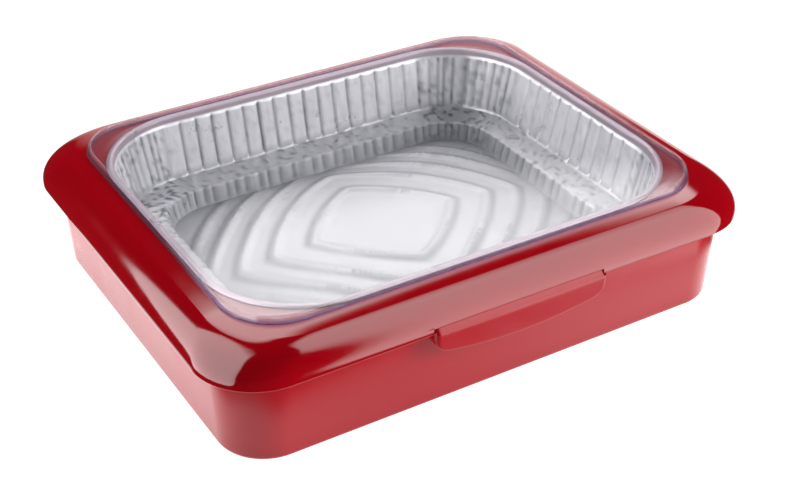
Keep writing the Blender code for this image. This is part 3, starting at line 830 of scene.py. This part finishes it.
def pale_floor():
    s = Shader("pale_floor")
    colour = s.mix_colour(s.remap(s.noise(scale=1.5), 0, 1), *STAGE_GREYS)
    matte = s.node("BsdfDiffuse", {"Color": colour}).outputs[0]
    glow = s.node("Emission", {"Color": WHITE, "Strength": 1.0}).outputs[0]
    return s.finish(s.node("AddShader", {0: matte, 1: glow}).outputs[0])


def panel_glow(name, level, sampled):
    """Light whose strength follows the mesh's own glow attribute."""
    s = Shader(name)
    share = s.node("Attribute", attribute_name="glow").outputs["Fac"]
    strength = s.node("Math", {0: share, 1: level}, operation="MULTIPLY").outputs[0]
    glow = s.node("Emission", {"Color": WHITE, "Strength": strength}).outputs[0]
    if not sampled:
        s.material.cycles.emission_sampling = "NONE"
    return s.finish(glow)


# ---------------------------------------------------------------- studio
PANEL_DISTANCE = 2.4
PANEL_ROWS = 30
MIRRORED_LEVEL = 4.5
LAMP_LOW = 12.0
# Each panel's lamp: level, highest elevation, and the azimuths between which it grows to its full strength
LEFT_LAMP = (13.0, 38.0, (98, 138))
RIGHT_LAMP = (20.0, 38.0, (18, 52))
BACK_LAMP = (8.0, 60.0)

# The table's glow: level, height, rings as (reach from the collar, share), and the darker part in front
TABLE_LEVEL = 2.0
TABLE_Z = -0.0005
TABLE_RINGS = ((-60, 0.0), (0, 1.0), (15, 1.0), (26, 1.0), (40, 0.0))
TABLE_DARK_AZIMUTH = -20
TABLE_DARK_SPREAD = 45.0
TABLE_DARK_SHARE = 0.45

FLOOR_SIZE = 6.0
WORLD_GLOSSY = 0.02
WORLD_DIFFUSE = 0.05
WORLD_SHOWN = 1.0

CAMERA_LENS = 67.7
CAMERA_PLACE = (-0.4193, -0.7115, 0.5431)
CAMERA_TARGET = (-0.0118, -0.0394, 0.040)


def stage_mesh(name, points, faces, glow, material):
    """A glowing mesh of the studio that the camera doesn't see."""
    mesh = bpy.data.meshes.new(name)
    mesh.from_pydata(points, [], faces)
    mesh.attributes.new("glow", "FLOAT", "POINT").data.foreach_set("value", glow)
    mesh.materials.append(material)
    made = bpy.data.objects.new(name, mesh)
    bpy.context.scene.collection.objects.link(made)
    made.visible_camera = False
    made.visible_shadow = False
    return made


def grid_faces(count, width):
    i, j = np.meshgrid(np.arange(count - 1), np.arange(width - 1), indexing="ij")
    k = (i * width + j).ravel()
    return np.stack([k, k + 1, k + width + 1, k + width], 1).tolist()


def light_panel(name, outline, lamp_level=0.0, lamp_top=0.0, lamp_taper=None):
    """A large curved light panel round the object, once as seen in glossy surfaces and once as a lamp.

    The outline gives azimuth, lowest and highest elevation, all in degrees, and a strength share. Azimuth 0
    is the front, growing towards +X. The panel fades in over its lowest degrees and out over its highest.
    lamp_taper gives the two azimuths, away from the front, between which the lamp grows to full strength.
    """
    table = np.array(outline, float)
    azimuths = np.linspace(table[0, 0], table[-1, 0], max(12, int((table[-1, 0] - table[0, 0]) / 2)))
    low, high, share = (np.interp(azimuths, table[:, 0], table[:, k]) for k in (1, 2, 3))
    views = [("mirrored", -90.0, 90.0, MIRRORED_LEVEL)]
    if lamp_level:
        views.append(("lamp", LAMP_LOW, lamp_top, lamp_level))
    for suffix, floor_level, highest, level in views:
        points, glow = [], []
        for azimuth, start, end, strength in zip(np.radians(azimuths), low, high, share):
            if suffix == "lamp" and lamp_taper:
                strength *= float(smoothstep(*lamp_taper, abs(math.degrees(azimuth))))
            start = max(start, floor_level)
            end = max(min(end, highest), start + 0.5)
            for elevation in np.linspace(start, end, PANEL_ROWS):
                flat = math.cos(math.radians(elevation)) * PANEL_DISTANCE
                z = math.sin(math.radians(elevation)) * PANEL_DISTANCE
                points.append((math.sin(azimuth) * flat, -math.cos(azimuth) * flat, z))
                fade = smoothstep(0, 7, end - elevation) * smoothstep(-0.5, 2.5, elevation - start)
                glow.append(strength * float(fade))
        material = panel_glow(f"{name}_{suffix}", level, suffix == "lamp")
        faces = grid_faces(len(azimuths), PANEL_ROWS)
        panel = stage_mesh(f"{name}_{suffix}", points, faces, glow, material)
        if suffix == "lamp":
            panel.visible_glossy = False
        else:
            panel.visible_diffuse = False


def table_glow():
    """The pale table close round the object, as its glossy surfaces mirror it; darker in front."""
    outline = rounded(COLLAR_HALF, COLLAR_CORNER, 12, side_shares(20), side_shares(16))
    outward = outline / np.linalg.norm(outline, axis=1)[:, None]
    azimuth = np.degrees(np.arctan2(outline[:, 0], -outline[:, 1]))
    from_dark = (azimuth - TABLE_DARK_AZIMUTH + 180) % 360 - 180
    front = np.exp(-((from_dark / TABLE_DARK_SPREAD) ** 2))
    points, glow = [], []
    for reach, share in TABLE_RINGS:
        ring = (outline + outward * reach) * MM
        points += [(x, y, TABLE_Z) for x, y in ring]
        glow += (share * (1 - TABLE_DARK_SHARE * front)).tolist()
    width = len(outline)
    faces = []
    for i in range(len(TABLE_RINGS) - 1):
        for j in range(width):
            k = (j + 1) % width
            faces.append([i * width + j, i * width + k, (i + 1) * width + k, (i + 1) * width + j])
    table = stage_mesh("table_glow", points, faces, glow, panel_glow("table_glow", TABLE_LEVEL, False))
    table.visible_diffuse = False


# Outlines of the light panels: azimuth, lowest and highest elevation, strength
LEFT_PANEL = (
    (-164, 57, 65, 0.6),
    (-158, 51, 70, 0.9),
    (-153, 45, 73, 1.0),
    (-148, 33, 74, 1.0),
    (-144.5, 24, 75, 1.0),
    (-141.5, 15, 76, 1.0),
    (-139.5, 8, 77, 1.0),
    (-137.5, 0, 77, 1.0),
    (-135.5, -12, 78, 1.0),
    (-133, -28, 78, 1.0),
    (-120, -28, 79, 1.0),
    (-90, -28, 79, 1.0),
    (-77, -28, 75, 1.0),
    (-69, -26, 66, 1.0),
    (-63, -20, 54, 0.9),
    (-60, -8, 40, 0.6),
)
RIGHT_PANEL = (
    (19.5, -26, 58, 0.3),
    (22, -35, 72, 0.8),
    (28, -36, 80, 0.84),
    (52, -36, 84, 0.88),
    (55, -12, 85, 0.9),
    (58, 14, 85, 0.88),
    (65, 32, 85, 0.85),
    (75, 44, 85, 0.72),
    (90, 49, 84, 0.5),
    (105, 52, 82, 0.28),
    (116, 54, 78, 0.1),
    (124, 56, 74, 0.0),
)
BACK_PANEL = (
    (111, 40, 43, 0.2),
    (114, 37, 46, 0.7),
    (118, 34, 49, 1.0),
    (126, 31, 49, 1.0),
    (131, 30.5, 51, 1.0),
    (137, 30.5, 55, 1.0),
    (143, 31, 59, 1.0),
    (150, 31.5, 64, 1.0),
    (157, 32.5, 68, 1.0),
    (165, 37, 72, 1.0),
    (170, 41, 74, 1.0),
    (175, 41.5, 74, 1.0),
    (181, 42, 74, 0.9),
    (188, 46, 72, 0.5),
)
BACKDROP = (
    (100, -40, -22, 0.2),
    (112, -40, -8, 0.28),
    (124, -40, 6, 0.3),
    (132, -40, 20, 0.32),
    (138, -40, 28, 0.34),
    (160, -40, 29, 0.34),
    (168, -40, 29, 0.28),
    (176, -40, 25, 0.0),
)


def build_floor():
    corners = [(x * FLOOR_SIZE, y * FLOOR_SIZE, 0) for x, y in ((-1, -1), (1, -1), (1, 1), (-1, 1))]
    floor = mesh_piece("floor", corners, [[0, 1, 2, 3]])
    floor.data.materials.append(pale_floor())
    floor.visible_glossy = False


def build_world():
    """A plain white surround; as a light it is only faint, because the panels give the light."""
    world = bpy.data.worlds.new("studio")
    world.use_nodes = True
    tree = world.node_tree
    tree.nodes.clear()
    out = tree.nodes.new("ShaderNodeOutputWorld")
    path = tree.nodes.new("ShaderNodeLightPath")

    def plain(level):
        made = tree.nodes.new("ShaderNodeBackground")
        made.inputs[0].default_value = WHITE
        made.inputs[1].default_value = level
        return made.outputs[0]

    def choose(factor, no, yes):
        made = tree.nodes.new("ShaderNodeMixShader")
        tree.links.new(factor, made.inputs[0])
        tree.links.new(no, made.inputs[1])
        tree.links.new(yes, made.inputs[2])
        return made.outputs[0]

    light = choose(path.outputs["Is Diffuse Ray"], plain(WORLD_GLOSSY), plain(WORLD_DIFFUSE))
    shown = choose(path.outputs["Is Camera Ray"], light, plain(WORLD_SHOWN))
    tree.links.new(shown, out.inputs["Surface"])
    bpy.context.scene.world = world


def build_studio():
    light_panel("panel_left", LEFT_PANEL, *LEFT_LAMP)
    light_panel("panel_right", RIGHT_PANEL, *RIGHT_LAMP)
    light_panel("panel_back", BACK_PANEL, *BACK_LAMP)
    light_panel("backdrop", BACKDROP)
    table_glow()
    build_floor()
    build_world()


def build_camera():
    camera = bpy.data.objects.new("camera", bpy.data.cameras.new("camera"))
    bpy.context.scene.collection.objects.link(camera)
    camera.data.sensor_width = 36.0
    camera.data.lens = CAMERA_LENS
    camera.location = CAMERA_PLACE
    camera.rotation_mode = "QUATERNION"
    camera.rotation_quaternion = (Vector(CAMERA_TARGET) - camera.location).to_track_quat("-Z", "Y")
    camera.data.clip_start, camera.data.clip_end = 0.05, 40.0
    bpy.context.scene.camera = camera


# ---------------------------------------------------------------- the object
def place(piece, material, body, node, slot):
    piece.data.materials.clear()
    piece.data.materials.append(material)
    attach(piece, body)
    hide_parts(node)


place(build_tub(), satin_red(), "base", "base_tub", "tub_satin_red")
place(build_collar(), gloss_red(), "collar", "collar", "collar_gloss_red")
place(build_pan(), bright_foil(), "pan", "foil_pan", "pan_foil")
place(build_lid(), clear_plastic(), "lid", "clear_lid", "lid_clear")
build_studio()
build_camera()
bpy.context.scene.view_settings.view_transform = "Standard"
